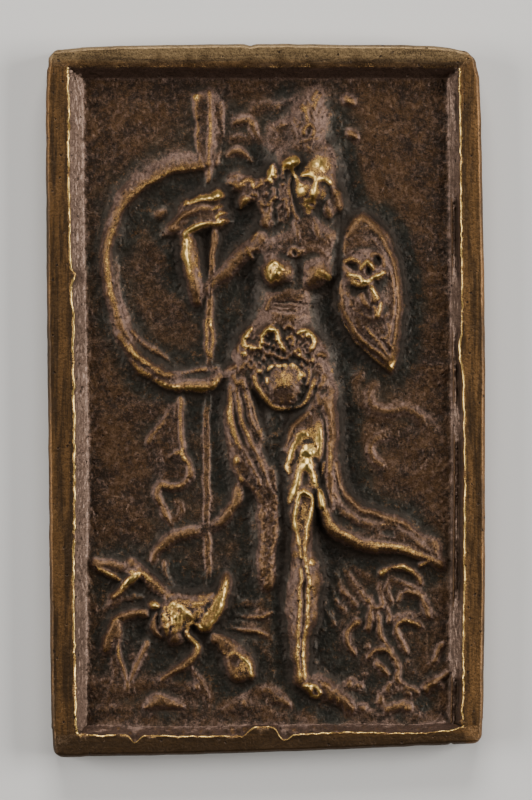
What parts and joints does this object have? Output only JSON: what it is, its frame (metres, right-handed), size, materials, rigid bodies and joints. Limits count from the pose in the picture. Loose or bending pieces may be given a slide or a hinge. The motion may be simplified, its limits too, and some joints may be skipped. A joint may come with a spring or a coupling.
{
  "type": "cast bronze relief plaquette",
  "caption": "Small rectangular cast bronze plaquette with a raised border and a standing helmeted figure with lance and shield in relief.",
  "frame": {"origin": "centre of the flat back, which the plaquette lies on", "axes": "+X to the right of the picture, +Y to its top, +Z out of its face"},
  "size_m": [0.044, 0.0714, 0.0049],
  "materials": {
    "bronze": "dark brown patina, rubbed golden on the high relief"
  },
  "bodies": {
    "root": {"plaquette": "bronze"}
  },
  "joints": []
}
